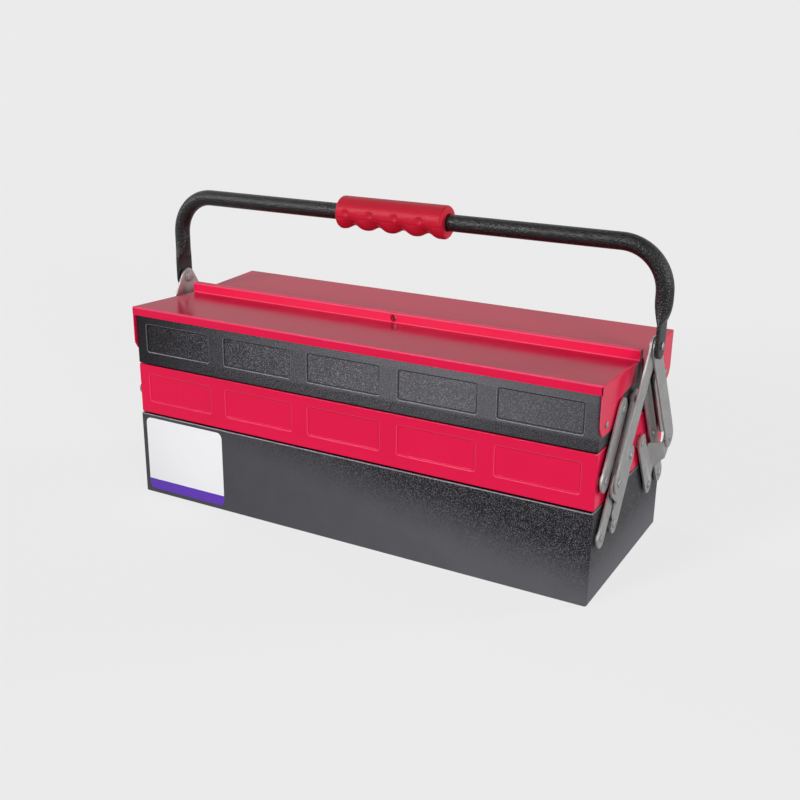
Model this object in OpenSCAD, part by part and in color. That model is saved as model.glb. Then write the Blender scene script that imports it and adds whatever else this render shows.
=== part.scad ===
/* [Box] */
// Length over the end walls
box_length = 530; // [420:5:620]
// Depth of the bottom box, front to rear
box_depth = 214; // [200:2:240]
// Height of the bottom box
body_height = 94.6; // [80:0.2:130]
// Thickness of the pressed steel sheet
sheet = 0.8; // [0.6:0.1:1]
// Outside radius of the upright corners
corner_r = 2.5; // [1.8:0.1:4]
// Depth of the folded hem along each open edge
hem_drop = 6; // [4:0.5:9]

/* [Trays] */
// Rise from one stage of trays to the next
stage = 57; // [52:0.5:66]
// Clear height between a tray and what it stands over
stage_gap = 1.2; // [0.5:0.1:2]
// Step of the tray faces behind the face of the bottom box
tray_inset = 1.2; // [0.6:0.1:2]
// Gap between the front and the rear trays
centre_gap = 2.4; // [1.6:0.2:6]
// Number of pressed panels along a tray
panel_count = 5; // [3:1:6]
// Plain strip between two pressed panels
panel_gap = 18.2; // [10:0.1:30]
// Plain strip from a tray's end to its first panel
panel_end = 13.5; // [10:0.5:30]
// Height of a pressed panel
panel_height = 32.5; // [20:0.5:36]
// Height of a panel's lower edge above the tray's bottom
panel_foot = 13.5; // [9:0.5:15]
// Depth of the pressing
panel_depth = 1.2; // [0.6:0.1:1.4]

/* [Lids] */
// Drop of the lid's long outer flange
lid_flange = 9.5; // [6:0.5:11]
// Fall of the lid's top from its outer edge to its centre rim
lid_fall = 4.5; // [2:0.5:5]
// Height of the centre rim above the lid
rim_height = 10.5; // [9:0.5:14]
// Width of the folded centre rim
rim_width = 4.1; // [3.4:0.1:6]
// Diameter of the padlock hole through both centre rims
padlock_d = 7.5; // [5:0.5:8]

/* [Linkage] */
// Distance from the centre line to the first pivot column
pivot_first = 18; // [14:0.5:22]
// Distance from the box's face to the last pivot column
pivot_inset = 16; // [14:0.5:20]
// Depth of the body pivots below the box's open edge
pivot_drop = 29.6; // [22:0.2:36]
// Width of the long arms and the inner links
bar_width = 19; // [14:0.5:20]
// Width of the outer links
outer_bar_width = 22.5; // [16:0.5:24]
// Thickness of the steel bars
bar_t = 1.8; // [1.4:0.1:1.8]
// Diameter of the link rivets
rivet_d = 5; // [4:0.1:6]
// Diameter of the rivet heads
head_d = 8.4; // [7:0.1:10]

/* [Legs and handle] */
// Height of the handle pivot above the lids' centre rims
apex_rise = 5.5; // [4:0.5:20]
// Distance of the lower leg pivots outward from the inner links' body pivots
foot_reach = 16.5; // [14:0.5:20]
// Height of the lower leg pivots above the body pivots
foot_rise = 49; // [46:0.5:52]
// Width of a leg
leg_width = 22.5; // [16:0.5:24]
// Diameter of the handle pivot pins
pin_d = 6; // [5:0.1:8]
// Outside diameter of the handle tube
tube_d = 17; // [14:0.5:20]
// Wall of the handle tube
tube_wall = 1.5; // [1.2:0.1:2]
// Height of the top tube's centre line above the handle pivot
handle_rise = 94; // [92:1:130]
// Length of the tube's flattened ends above the handle pivot
flat_rise = 22; // [20:1:30]
// Height above the handle pivot where the tube is round again
round_rise = 46; // [40:1:46]
// Centre line radius of the handle's elbows
elbow_r = 44; // [30:1:45]
// Width of the tube's flattened ends
flat_width = 25; // [20:0.5:26]

/* [Grip] */
// Length of the grip
grip_length = 125; // [100:1:160]
// Outside diameter of the grip
grip_d = 34; // [28:0.5:36]
// Shift of the grip from the middle of the handle
grip_shift = -2.4; // [-15:0.2:15]
// Number of finger hollows
finger_count = 4; // [3:1:4]
// Depth of the finger hollows
finger_depth = 4.4; // [2:0.2:4.6]
// Share of the grip's length that the finger hollows take
finger_share = 0.92; // [0.8:0.02:0.94]

/* [Hidden] */

$fn = 48;
FRONT = -1;
REAR = 1;
LEFT = -1;
RIGHT = 1;
eps = 0.01;

// Shades of the paint, the bare steel and the moulding
black_paint = [0.17, 0.17, 0.18];
red_paint = [0.86, 0.10, 0.24];
zinc = [0.62, 0.62, 0.61];
bright_zinc = [0.78, 0.78, 0.77];
grip_red = [0.70, 0.12, 0.18];

// Walls, hems and the levels of the stages
half_length = box_length / 2;
half_depth = box_depth / 2;
hem_t = 2 * sheet + 0.2;
tray_height = stage - stage_gap;
tray_inner = centre_gap / 2;
tray_outer = half_depth - tray_inset;
middle_z = body_height + stage_gap;
top_z = middle_z + stage;
panel_pitch = (box_length - 2 * panel_end + panel_gap) / panel_count;
panel_width = panel_pitch - panel_gap;
panel_r = 3.5;
panel_slope = 2.2;

// Pivot columns and rows, seen from the end of the box
pivot_last = half_depth - pivot_inset;
pivot_step = (pivot_last - pivot_first) / 2;
pivot_middle = pivot_first + pivot_step;
body_row = body_height - pivot_drop;
middle_row = body_row + stage;
top_row = middle_row + stage;
ear_drop = 3.4;
lid_row = top_row - ear_drop;

// Layers outward from the end walls: lid flap, flat bars, lugs, legs, handle
play = 0.3;
flap_x = half_length + 0.5;
bar_gap = 1.4;
bar_x = flap_x + sheet + bar_gap;
bar_face = bar_x + bar_t;
lug_gap = 2.7;
front_lug_x = bar_face + lug_gap;
front_foot_x = front_lug_x + bar_t + play;
lug_step = 6.4;
rear_lug_x = front_lug_x + lug_step;
rear_foot_x = rear_lug_x + bar_t + play;
leg_joggle = 2.3;
front_leg_x = front_foot_x + leg_joggle;
rear_leg_x = front_leg_x + bar_t + 0.2;
plate_x = rear_leg_x + bar_t + play;
flat_bore = 1.2;
plate_t = 2 * tube_wall + flat_bore;
tube_x = plate_x + plate_t / 2;
head_t = 1.4;
inner_head_t = 1.2;
rivet_r = rivet_d / 2;
head_r = head_d / 2;
ear_head_r = head_r - 1;
fit = 0.05;
pin_r = pin_d / 2;
pin_head_r = pin_r + 2.2;
pin_end_r = pin_r + 1;
washer_rim = 3;
washer_t = 1;
pin_x = front_leg_x - play - washer_t - head_t;
lug_fold = bar_width / 2 + 7.5;
lap = 3;
fold_run = 8;
lug_shoulder = 15.5;
leg_fold = 16;

// Lids
lid_overhang = 1.2;
lid_stand = 7.9;
lid_edge_z = top_z + tray_height + lid_stand;
lid_outer = half_depth + lid_overhang;
lid_inner_z = lid_edge_z - lid_fall;
rim_z = lid_inner_z + rim_height;
rim_inner = 0.4;
rim_outer = rim_inner + rim_width;
padlock_rise = 4.7;
padlock_z = lid_inner_z + padlock_rise;
rim_foot = 3;
ear_r = 13;
ear_foot = 9.6;
ear_width = 14.5;

// Legs and handle
apex_height = rim_z + apex_rise;
foot_y = pivot_middle + foot_reach;
foot_z = body_row + foot_rise;
leg_end = 10.5;
leg_top = 8.8;
flat_top = apex_height + flat_rise;
round_from = apex_height + round_rise;
bar_z = apex_height + handle_rise;
elbow_z = bar_z - elbow_r;
tube_r = tube_d / 2;
flat_foot = apex_height - flat_width / 2 - 0.2;

// Grip
grip_r = grip_d / 2;
finger_pitch = finger_share * grip_length / finger_count;
finger_r = finger_pitch * 0.46;

// Unit vector along v
function unit(v) = v / norm(v);

// Arc of radius r that rounds the corner at b between a and c
function corner_arc(a, b, c, r, n) =
    r <= 0 ? [b] :
    let (u = unit(a - b),
        w = unit(c - b),
        half = acos(u * w) / 2,
        centre = b + unit(u + w) * r / sin(half),
        from = b + u * r / tan(half) - centre,
        to = b + w * r / tan(half) - centre,
        start = atan2(from.y, from.x),
        turn = atan2(to.y, to.x) - start,
        sweep = turn > 180 ? turn - 360 : turn < -180 ? turn + 360 : turn)
    [for (i = [0:n]) centre + r * [cos(start + sweep * i / n), sin(start + sweep * i / n)]];

// Outline through points [x, y, r], each corner rounded by its own r
function rounded(p, n = 5) =
    [for (i = [0:len(p) - 1])
        let (a = p[(i + len(p) - 1) % len(p)], b = p[i], c = p[(i + 1) % len(p)])
        each corner_arc([a.x, a.y], [b.x, b.y], [c.x, c.y], b.z, n)];

// Rectangle from corner a to corner b with rounded corners
function rounded_box(a, b, r) = rounded([[a.x, a.y, r], [b.x, a.y, r], [b.x, b.y, r], [a.x, b.y, r]]);

// Moves a shape made for the right rear corner to one end and one side
module place(end, side) {
    mirror([end == LEFT ? 1 : 0, 0, 0]) mirror([0, side == FRONT ? 1 : 0, 0]) children();
}

// Upright plate t thick, its inner face at x, from an outline in depth and height
module plate(x, t) {
    translate([x, 0, 0]) rotate([90, 0, 90]) linear_extrude(t) children();
}

// Round rod along the length from x, at a depth and height
module rod(x, length, r, at) {
    translate([x, at.x, at.y]) rotate([0, 90, 0]) cylinder(h = length, r = r);
}

// Domed rivet head with a hollow centre, facing outward from x
module rivet_head(x, at, r = head_r) {
    translate([x, at.x, at.y]) rotate([0, 90, 0]) rotate_extrude()
        polygon([[0, 0], [r, 0], [r, 0.45], [r - 0.9, head_t], [r * 0.45, head_t],
            [r * 0.34, head_t - 0.6], [0, head_t - 0.6]]);
}

// Rivet through the end wall, from a flat head inside to a domed head at head_x
module wall_rivet(at, head_x, r = head_r) {
    rod(half_length - sheet - inner_head_t, inner_head_t, head_r, at);
    rod(half_length - sheet - eps, head_x - half_length + sheet + 2 * eps, rivet_r, at);
    rivet_head(head_x, at, r);
}

// Spacer ring between the end wall and a bar
module washer(at) {
    difference() {
        rod(half_length, bar_x - half_length - play, rivet_r + washer_rim, at);
        rod(half_length - eps, bar_x - half_length, rivet_r + fit, at);
    }
}

// Flat bar with round ends and a hole at each of its pivots
module bar(pivots, width, x = bar_x) {
    a = pivots[0];
    b = pivots[len(pivots) - 1];
    across = unit([a.y - b.y, b.x - a.x]) * width / 2;
    difference() {
        union() {
            plate(x, bar_t) polygon([a + across, b + across, b - across, a - across]);
            for (end = [a, b]) rod(x, bar_t, width / 2, end);
        }
        for (at = pivots) rod(x - eps, bar_t + 2 * eps, rivet_r + fit, at);
    }
}

// Open box pressed from sheet, with a hem folded inside its top edge
module tub(from, to, height) {
    difference() {
        linear_extrude(height) polygon(rounded_box(from, to, corner_r));
        translate([0, 0, sheet]) linear_extrude(height - sheet - hem_drop)
            polygon(rounded_box(from + [sheet, sheet], to - [sheet, sheet], corner_r - sheet));
        translate([0, 0, height - hem_drop - eps]) linear_extrude(hem_drop + 1)
            polygon(rounded_box(from + [hem_t, hem_t], to - [hem_t, hem_t], 0.6));
    }
}

// Sloped pressing of each panel, sunk from the tray's outer face by depth
module pressings(face, depth) {
    slope = panel_slope * depth / panel_depth;
    for (i = [0:panel_count - 1])
        translate([(i - (panel_count - 1) / 2) * panel_pitch, face, panel_foot + panel_height / 2])
            rotate([90, 0, 0])
                linear_extrude(depth, slices = 1, $fn = 4,
                    scale = [1 - 2 * slope / panel_width, 1 - 2 * slope / panel_height])
                    polygon(rounded_box([-panel_width / 2, -panel_height / 2],
                        [panel_width / 2, panel_height / 2], panel_r));
}

// One tray standing at z, with the holes of its three rivets at each end
module tray(z, pivots) {
    difference() {
        translate([0, 0, z]) difference() {
            union() {
                tub([-half_length, tray_inner], [half_length, tray_outer], tray_height);
                pressings(tray_outer - sheet + eps, panel_depth + eps);
            }
            pressings(tray_outer + eps, panel_depth + eps);
        }
        for (at = pivots) rod(-half_length - 1, box_length + 2, rivet_r, at);
    }
}

middle_pivots = [[pivot_first, middle_row], [pivot_middle, middle_row], [pivot_last, middle_row]];
top_pivots = [[pivot_first, top_row], [pivot_middle, top_row], [pivot_last, lid_row]];
body_pivots = [[pivot_middle, body_row], [pivot_last, body_row]];

module body_box() {
    color(black_paint) difference() {
        tub([-half_length, -half_depth], [half_length, half_depth], body_height);
        for (side = [FRONT, REAR], at = body_pivots)
            rod(-half_length - 1, box_length + 2, rivet_r, [side * at.x, at.y]);
    }
}

module body_rivets() {
    color(bright_zinc) for (end = [LEFT, RIGHT], side = [FRONT, REAR], at = body_pivots)
        place(end, side) wall_rivet(at, bar_face + fit);
}

module body_washers() {
    color(zinc) for (end = [LEFT, RIGHT], side = [FRONT, REAR], at = body_pivots)
        place(end, side) washer(at);
}

module middle_tray(side) {
    color(red_paint) place(RIGHT, side) tray(middle_z, middle_pivots);
}

module top_tray(side) {
    color(black_paint) place(RIGHT, side) tray(top_z, top_pivots);
}

module middle_rivets(side) {
    color(bright_zinc) for (end = [LEFT, RIGHT], at = middle_pivots)
        place(end, side) wall_rivet(at, bar_face + fit);
}

module middle_washers(side) {
    color(zinc) for (end = [LEFT, RIGHT], at = middle_pivots) place(end, side) washer(at);
}

// The last rivet of each end holds the lid's ear, close to the wall
module top_rivets(side) {
    color(bright_zinc) for (end = [LEFT, RIGHT]) place(end, side) {
        for (i = [0, 1]) wall_rivet(top_pivots[i], bar_face + fit);
        wall_rivet(top_pivots[2], flap_x + sheet + fit, ear_head_r);
    }
}

module top_washers(side) {
    color(zinc) for (end = [LEFT, RIGHT], i = [0, 1]) place(end, side) washer(top_pivots[i]);
}

// Section of a lid: outer flange, falling top and folded centre rim
function lid_section() =
    let (s = sheet,
        o = lid_outer,
        e = lid_edge_z,
        c = lid_inner_z)
    rounded([[o, e - lid_flange, 0], [o, e, 1.6], [rim_outer, c, 0.5], [rim_outer, rim_z, 1.1],
        [rim_inner, rim_z, 1.1], [rim_inner, c - rim_foot, 0], [rim_inner + s, c - rim_foot, 0],
        [rim_inner + s, rim_z - s, 0.3], [rim_outer - s, rim_z - s, 0.3], [rim_outer - s, c - s, 0.6],
        [o - s, e - s, 0.8], [o - s, e - lid_flange, 0]], 4);

// Outline of a lid's end flap, with the ear that hangs on its rivet
function flap_outline() =
    let (foot = lid_row - ear_foot,
        waist = top_row + bar_width / 2 + 3)
    rounded([[lid_outer, lid_edge_z - 1.5, 0], [lid_outer, foot, ear_r], [pivot_last - ear_width, foot, 9],
        [pivot_middle - 2, waist, 12], [rim_outer + 8, waist + 2, 3], [rim_outer + 3.5, lid_inner_z, 0]], 6);

module lid(side) {
    color(red_paint) place(RIGHT, side) difference() {
        union() {
            plate(-flap_x - sheet, 2 * (flap_x + sheet)) polygon(lid_section());
            for (end = [LEFT, RIGHT]) place(end, REAR) plate(flap_x, sheet) polygon(flap_outline());
        }
        for (end = [LEFT, RIGHT]) place(end, REAR)
            rod(flap_x - eps, sheet + 2 * eps, rivet_r + fit, [pivot_last, lid_row]);
        translate([0, -eps, padlock_z]) rotate([-90, 0, 0]) cylinder(h = rim_outer + 1, d = padlock_d);
    }
}

module long_arm(end, side) {
    color(zinc) place(end, side)
        bar([[pivot_last, body_row], [pivot_middle, middle_row], [pivot_first, top_row]], bar_width);
}

module outer_link(end, side) {
    color(zinc) place(end, side)
        bar([[pivot_last, middle_row], [pivot_middle, top_row]], outer_bar_width);
}

// Section of a strip t thick along a path of [x, distance], mitred at its folds
function strip(path, t) =
    let (last = len(path) - 1,
        across = [for (i = [0:last - 1]) let (d = unit(path[i + 1] - path[i])) [d.y, -d.x]])
    concat(path, [for (i = [last:-1:0])
        let (a = across[max(i - 1, 0)], b = across[min(i, last - 1)])
        path[i] + (a + b) * t / (1 + a * b)]);

// Upright strip of bar that folds from one layer to another along its path
module folded(path, length) {
    translate([0, 0, -length / 2]) linear_extrude(length) polygon(strip(path, bar_t));
}

// Inner link with the lug that carries a leg: flat past its edge, folded out, then flat at x
module inner_link(end, side, x) {
    from = [pivot_middle, body_row];
    along = unit([pivot_first, middle_row] - from);
    out = [along.y, -along.x];
    foot = [foot_y, foot_z];
    u = (foot - from) * along;
    v = (foot - from) * out;
    edge = bar_width / 2;
    outline = rounded([[edge - lap, 0, 0], [lug_fold, fold_run, lap], [lug_fold + 6, u - lug_shoulder, 5],
        [v + leg_end, u - lug_shoulder + 1.5, 9], [v + leg_end, u + leg_end, 9],
        [v - 7, u + leg_end - 1, 5], [lug_fold + 11, u + 6, 4],
        [lug_fold, u + lug_shoulder, 2], [edge - lap, u + lug_shoulder + lap, 0]]);
    color(zinc) place(end, side) difference() {
        union() {
            bar([from, [pivot_first, middle_row]], bar_width);
            intersection() {
                plate(bar_x, x + bar_t - bar_x) polygon([for (p = outline) from + p.x * out + p.y * along]);
                translate([0, from.x, from.y]) rotate([atan2(along.y, along.x) - 90, 0, 0])
                    folded([[bar_x, edge - lap], [bar_x, lug_fold], [x, lug_fold + fold_run], [x, v + 2 * leg_end]], 4 * u);
            }
        }
        rod(x - eps, bar_t + 2 * eps, rivet_r, foot);
    }
}

module lug_rivets(side, x) {
    color(bright_zinc) for (end = [LEFT, RIGHT]) place(end, side) {
        rod(x - inner_head_t, inner_head_t, head_r - 0.6, [foot_y, foot_z]);
        rod(x - eps, bar_t + eps, rivet_r, [foot_y, foot_z]);
    }
}

module leg_rivets(side, x) {
    color(bright_zinc) for (end = [LEFT, RIGHT]) place(end, side) {
        rod(x, bar_t + eps, rivet_r, [foot_y, foot_z]);
        rivet_head(x + bar_t, [foot_y, foot_z]);
    }
}

// Leg from the handle pivot, in layer x, to its foot, in layer foot_x
module leg(end, side, x, foot_x) {
    foot = [foot_y, foot_z];
    apex = [0, apex_height];
    along = unit(foot - apex);
    across = [-along.y, along.x];
    length = norm(foot - apex);
    half = leg_width / 2;
    outline = rounded([[-half, -leg_top, half - 0.5], [half, -leg_top, half - 0.5],
        [half, length + leg_end, half - 0.5], [-half, length + leg_end, half - 0.5]], 8);
    color(zinc) place(end, side) difference() {
        intersection() {
            plate(min(x, foot_x), abs(x - foot_x) + bar_t)
                polygon([for (p = outline) apex + p.x * across + p.y * along]);
            translate([0, apex.x, apex.y]) rotate([atan2(along.y, along.x), 0, 0])
                folded([[x, -2 * leg_end], [x, leg_fold], [foot_x, length - leg_fold], [foot_x, length + 2 * leg_end]],
                    4 * half);
        }
        rod(x - eps, bar_t + 2 * eps, pin_r + fit, apex);
        rod(foot_x - eps, bar_t + 2 * eps, rivet_r, foot);
    }
}

module apex_pins() {
    at = [0, apex_height];
    color(bright_zinc) for (end = [LEFT, RIGHT]) place(end, REAR) {
        rod(pin_x, head_t, pin_head_r, at);
        rod(pin_x, plate_x + plate_t + fit + eps - pin_x, pin_r, at);
        rivet_head(plate_x + plate_t + fit, at, pin_end_r);
    }
}

// Thin washers between the front leg and the pin's inner head
module apex_washers() {
    color(zinc) for (end = [LEFT, RIGHT]) place(end, REAR) difference() {
        rod(front_leg_x - play - washer_t, washer_t, pin_head_r + 1.5, [0, apex_height]);
        rod(front_leg_x - play - washer_t - eps, washer_t + 2 * eps, pin_r, [0, apex_height]);
    }
}

// Half of the bent tube, of radius r, whose end above the flat tapers from [thickness, width]
module tube_path(r, flat) {
    lap = 0.5;
    hull() {
        translate([tube_x - flat.x / 2, -flat.y / 2, flat_top - lap]) cube([flat.x, flat.y, lap]);
        translate([tube_x, 0, round_from]) cylinder(h = eps, r = r, $fn = 32);
    }
    translate([tube_x, 0, round_from]) cylinder(h = elbow_z - round_from + eps, r = r);
    translate([tube_x - elbow_r, 0, elbow_z]) rotate([90, 0, 0])
        rotate_extrude(angle = 90) translate([elbow_r, 0]) circle(r);
    translate([-eps, 0, bar_z]) rotate([0, 90, 0]) cylinder(h = tube_x - elbow_r + eps, r = r);
}

// Both ends are pressed flat, which leaves a slot between the walls, and punched for the pins
module handle_tube() {
    half = flat_width / 2;
    slot = [flat_bore - 2 * fit, flat_width - 2 * tube_wall - 2 * fit];
    color(black_paint) for (end = [LEFT, RIGHT]) place(end, REAR) difference() {
        union() {
            tube_path(tube_r, [plate_t, flat_width]);
            plate(plate_x, plate_t)
                polygon(rounded([[-half, flat_top, 0], [-half, flat_foot, half - 0.1],
                    [half, flat_foot, half - 0.1], [half, flat_top, 0]], 10));
        }
        tube_path(tube_r - tube_wall, [flat_bore, flat_width - 2 * tube_wall]);
        translate([tube_x - slot.x / 2, -slot.y / 2, flat_foot - eps])
            cube([slot.x, slot.y, flat_top - flat_foot - 0.25]);
        rod(plate_x - eps, plate_t + 2 * eps, pin_r + fit, [0, apex_height]);
    }
}

module handle_grip() {
    end_r = 3.5;
    bore_r = tube_r + 0.15;
    color(grip_red) translate([grip_shift, 0, bar_z]) difference() {
        translate([-grip_length / 2, 0, 0]) rotate([90, 0, 90]) rotate_extrude()
            polygon(rounded([[bore_r, 0, 0.8], [grip_r, 0, end_r], [grip_r, grip_length, end_r],
                [bore_r, grip_length, 0.8]], 4));
        for (i = [0:finger_count - 1])
            translate([(i - (finger_count - 1) / 2) * finger_pitch, -grip_r - 1,
                -grip_r - finger_r + finger_depth])
                rotate([-90, 0, 0]) cylinder(h = 2 * grip_r + 2, r = finger_r);
    }
}

body_box();
body_rivets();
body_washers();
middle_tray(FRONT);  // front_middle_tray
middle_tray(REAR);  // rear_middle_tray
top_tray(FRONT);  // front_top_tray
top_tray(REAR);  // rear_top_tray
middle_rivets(FRONT);  // front_middle_rivets
middle_rivets(REAR);  // rear_middle_rivets
top_rivets(FRONT);  // front_top_rivets
top_rivets(REAR);  // rear_top_rivets
middle_washers(FRONT);  // front_middle_washers
middle_washers(REAR);  // rear_middle_washers
top_washers(FRONT);  // front_top_washers
top_washers(REAR);  // rear_top_washers
lid(FRONT);  // front_lid
lid(REAR);  // rear_lid
long_arm(LEFT, FRONT);  // left_front_long_arm
long_arm(RIGHT, FRONT);  // right_front_long_arm
long_arm(LEFT, REAR);  // left_rear_long_arm
long_arm(RIGHT, REAR);  // right_rear_long_arm
inner_link(LEFT, FRONT, front_lug_x);  // left_front_inner_link
inner_link(RIGHT, FRONT, front_lug_x);  // right_front_inner_link
inner_link(LEFT, REAR, rear_lug_x);  // left_rear_inner_link
inner_link(RIGHT, REAR, rear_lug_x);  // right_rear_inner_link
outer_link(LEFT, FRONT);  // left_front_outer_link
outer_link(RIGHT, FRONT);  // right_front_outer_link
outer_link(LEFT, REAR);  // left_rear_outer_link
outer_link(RIGHT, REAR);  // right_rear_outer_link
lug_rivets(FRONT, front_lug_x);  // front_lug_rivets
lug_rivets(REAR, rear_lug_x);  // rear_lug_rivets
leg(LEFT, FRONT, front_leg_x, front_foot_x);  // left_front_leg
leg(RIGHT, FRONT, front_leg_x, front_foot_x);  // right_front_leg
leg(LEFT, REAR, rear_leg_x, rear_foot_x);  // left_rear_leg
leg(RIGHT, REAR, rear_leg_x, rear_foot_x);  // right_rear_leg
leg_rivets(FRONT, front_foot_x);  // front_leg_rivets
leg_rivets(REAR, rear_foot_x);  // rear_leg_rivets
apex_pins();
apex_washers();
handle_tube();
handle_grip();
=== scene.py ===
"""Cantilever tool box: the fine shape and the finish of each piece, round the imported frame."""

import math

import bmesh
import bpy
import numpy as np
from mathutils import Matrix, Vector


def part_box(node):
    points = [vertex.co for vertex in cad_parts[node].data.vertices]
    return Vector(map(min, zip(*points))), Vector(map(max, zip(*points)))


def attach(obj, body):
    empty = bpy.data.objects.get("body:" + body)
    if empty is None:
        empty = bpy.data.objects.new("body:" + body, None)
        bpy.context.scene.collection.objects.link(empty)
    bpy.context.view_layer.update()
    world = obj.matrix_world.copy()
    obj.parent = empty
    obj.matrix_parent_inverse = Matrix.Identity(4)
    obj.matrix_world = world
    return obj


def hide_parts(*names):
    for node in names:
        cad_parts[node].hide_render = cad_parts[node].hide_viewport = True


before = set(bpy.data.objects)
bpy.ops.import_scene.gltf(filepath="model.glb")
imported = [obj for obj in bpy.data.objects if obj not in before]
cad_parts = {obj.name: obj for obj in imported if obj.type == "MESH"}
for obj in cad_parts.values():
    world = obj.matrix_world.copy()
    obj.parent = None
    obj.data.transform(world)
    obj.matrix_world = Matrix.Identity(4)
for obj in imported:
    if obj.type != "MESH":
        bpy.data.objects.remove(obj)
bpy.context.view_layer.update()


# ---- The bottom box -------------------------------------------------------------
# One tub folded from 0.8 mm sheet steel.  Its open edge is turned in as a hem, and
# it is sprayed black inside and out with a hammer-tone paint that dries in pools.

mm = 0.001
sheet = 0.8
corner_r = 2.5
hem_t = 2 * sheet + 0.2
hem_drop = 6.0
hem_lip = 0.15
edge_r = hem_t / 2
floor_r = 1.2
beside = 0.4  # from a bend to the points that keep the flat beside it flat
highlight_bend = 0.14  # the slope value of a bend that gets a painted highlight
sharp_angle = math.radians(35)


def arc(start, stop, steps):
    """Angles from start to stop degrees, in radians, both ends included."""
    return np.radians(np.linspace(start, stop, steps + 1))


def loop(half_x, y_low, y_high, inset, stations):
    """Closed outline at an inset from a rounded rectangle: the long sides hold the
    given stations, scaled to the side's length, and the corners are quarter circles.
    A station close beside each bend keeps the flat faces flat in the shading."""
    r = max(corner_r - inset, 0.6)
    reach = half_x - inset - r
    low, high = y_low + inset + r, y_high - inset - r
    spread = stations * reach / (half_x - corner_r)
    along = np.concatenate([[beside - reach], spread, [reach - beside]])
    across = np.concatenate([[low + beside], np.linspace(low, high, 5)[1:-1], [high - beside]])
    turn = [arc(start, start + 90, 6) for start in (-90, 0, 90, 180)]
    centres = [(reach, low), (reach, high), (-reach, high), (-reach, low)]
    corners = [
        np.stack([x + r * np.cos(t), y + r * np.sin(t)], axis=-1)
        for (x, y), t in zip(centres, turn)
    ]
    front = np.stack([along, np.full_like(along, y_low + inset)], axis=-1)
    back = np.stack([along[::-1], np.full_like(along, y_high - inset)], axis=-1)
    right = np.stack([np.full_like(across, half_x - inset), across], axis=-1)
    left = np.stack([np.full_like(across, inset - half_x), across[::-1]], axis=-1)
    return np.concatenate(
        [front, corners[0], right, corners[1], back, corners[2], left, corners[3]]
    )


def tub_profile(height, wall_heights):
    """Inset and height of each ring of a tub: up the inside, over the folded hem as a
    half circle, down the outside and under the floor's rounded edge."""
    inner = arc(0, 90, 4)
    under = arc(90, 0, 4)
    brim = arc(0, 180, 6)
    rim_z = height - edge_r
    hem_z = height - hem_drop
    low = sheet + floor_r + beside
    inside = wall_heights[(wall_heights > low) & (wall_heights < hem_z)]
    outside = wall_heights[(wall_heights > floor_r + beside) & (wall_heights < rim_z - beside)]
    return np.concatenate(
        [
            np.stack(
                [sheet + floor_r * (1 - np.sin(inner)), sheet + floor_r * (1 - np.cos(inner))],
                axis=-1,
            ),
            [[sheet, low]],
            np.stack([np.full_like(inside, sheet), inside], axis=-1),
            [[sheet, hem_z - hem_lip], [sheet + hem_lip, hem_z]],
            [[hem_t - hem_lip, hem_z], [hem_t, hem_z + hem_lip]],
            np.stack([edge_r + edge_r * np.cos(brim), rim_z + edge_r * np.sin(brim)], axis=-1),
            [[0, rim_z - beside]],
            np.stack([np.zeros_like(outside), outside[::-1]], axis=-1),
            [[0, floor_r + beside]],
            np.stack(
                [floor_r * (1 - np.sin(under)), floor_r * (1 - np.cos(under))], axis=-1
            ),
        ]
    )


def finish_mesh(mesh):
    """Turns every face outwards and shades the mesh smooth up to the sharp angle."""
    b = bmesh.new()
    b.from_mesh(mesh)
    bmesh.ops.recalc_face_normals(b, faces=b.faces)
    b.to_mesh(mesh)
    b.free()
    mesh.shade_smooth()
    mesh.set_sharp_from_angle(angle=sharp_angle)


def piece_from(name, points, faces):
    """A new object whose mesh holds the points, given in millimetres."""
    mesh = bpy.data.meshes.new(name)
    mesh.from_pydata((np.asarray(points) * mm).tolist(), [], faces)
    mesh.update()
    piece = bpy.data.objects.new(name, mesh)
    bpy.context.scene.collection.objects.link(piece)
    return piece


def keep_slopes(piece, slopes):
    """Writes each point's slope value on the piece's mesh, for the paint to read."""
    kept = piece.data.attributes.new("slope", "FLOAT", "POINT")
    kept.data.foreach_set("value", slopes.ravel())


def skin_faces(count, size, wrap, first=0):
    """Quads between neighbouring closed rings of one size, with a cap on the first and
    the last ring, or a seam between them when the rings wrap round."""
    index = np.arange(count * size).reshape(count, size) + first
    ahead = np.roll(index, -1, axis=1)
    rows = slice(None) if wrap else slice(count - 1)
    up, up_ahead = np.roll(index, -1, axis=0)[rows], np.roll(ahead, -1, axis=0)[rows]
    quads = np.stack([index[rows], ahead[rows], up_ahead, up], axis=-1).reshape(-1, 4)
    caps = [] if wrap else [index[0][::-1].tolist(), index[-1].tolist()]
    return quads.tolist() + caps


def skin(name, solids, wrap=False, slopes=None):
    """One piece of several skins, each an array of rings, points and coordinates."""
    points, faces, first = [], [], 0
    for rings in solids:
        count, size = rings.shape[:2]
        faces += skin_faces(count, size, wrap, first)
        points.append(rings.reshape(-1, 3))
        first += count * size
    piece = piece_from(name, np.concatenate(points), faces)
    if slopes is not None:
        keep_slopes(piece, slopes)
    finish_mesh(piece.data)
    return piece


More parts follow.
